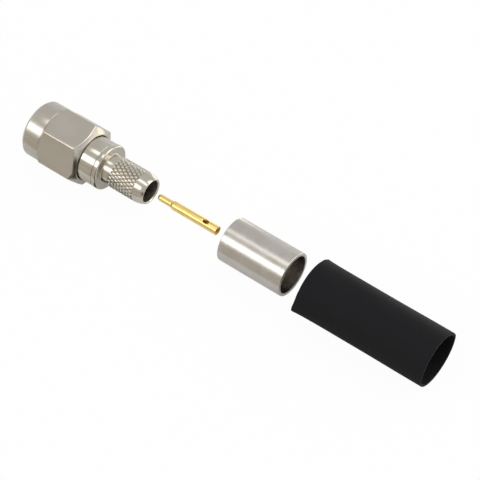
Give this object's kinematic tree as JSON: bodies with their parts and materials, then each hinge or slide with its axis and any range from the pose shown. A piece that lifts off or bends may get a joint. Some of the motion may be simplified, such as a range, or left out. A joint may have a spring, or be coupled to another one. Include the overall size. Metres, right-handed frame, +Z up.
{
  "type": "sma crimp plug",
  "caption": "Coaxial SMA crimp plug laid out on its axis: body with turning hex nut and knurled stem, loose contact pin, crimp ferrule and black shrink sleeve.",
  "frame": {"origin": "on the axis at the mating reference plane, the front edge of the outer contact", "axes": "+X along the axis from the mating side to the cable side; +Z up, square to a flat of the hexagon"},
  "size_m": [0.0631, 0.0092, 0.008],
  "materials": {
    "nut_nickel": "nickel plated, satin flats and polished turned faces",
    "body_nickel": "nickel plated, bright turned",
    "ferrule_nickel": "nickel plated, drawn satin",
    "ring_bronze": "bare spring bronze",
    "contact_gold": "gold plated, bright",
    "bead_ptfe": "turned white, waxy",
    "gasket_silicone": "matte red-brown silicone",
    "sleeve_black": "matte black shrink tube"
  },
  "bodies": {
    "connector_body": {"front_body": "body_nickel", "crimp_stem": "body_nickel", "insulator": "bead_ptfe", "gasket": "gasket_silicone", "retaining_ring": "ring_bronze"},
    "coupling_nut": {"coupling_nut": "nut_nickel"},
    "contact_pin": {"contact_pin": "contact_gold"},
    "crimp_ferrule": {"crimp_ferrule": "ferrule_nickel"},
    "shrink_sleeve": {"shrink_sleeve": "sleeve_black"}
  },
  "joints": [
    {"name": "nut_turn", "type": "hinge", "parent": "connector_body", "child": "coupling_nut", "pos_m": [0.003, 0, 0], "axis": [1, 0, 0], "continuous": true},
    {"name": "pin_slide", "type": "slide", "parent": "connector_body", "child": "contact_pin", "axis": [-1, 0, 0], "range_m": [0, 0.01926]},
    {"name": "ferrule_slide", "type": "slide", "parent": "connector_body", "child": "crimp_ferrule", "axis": [-1, 0, 0], "range_m": [0, 0.0194]},
    {"name": "sleeve_slide", "type": "slide", "parent": "connector_body", "child": "shrink_sleeve", "axis": [-1, 0, 0], "range_m": [0, 0.0319]}
  ]
}
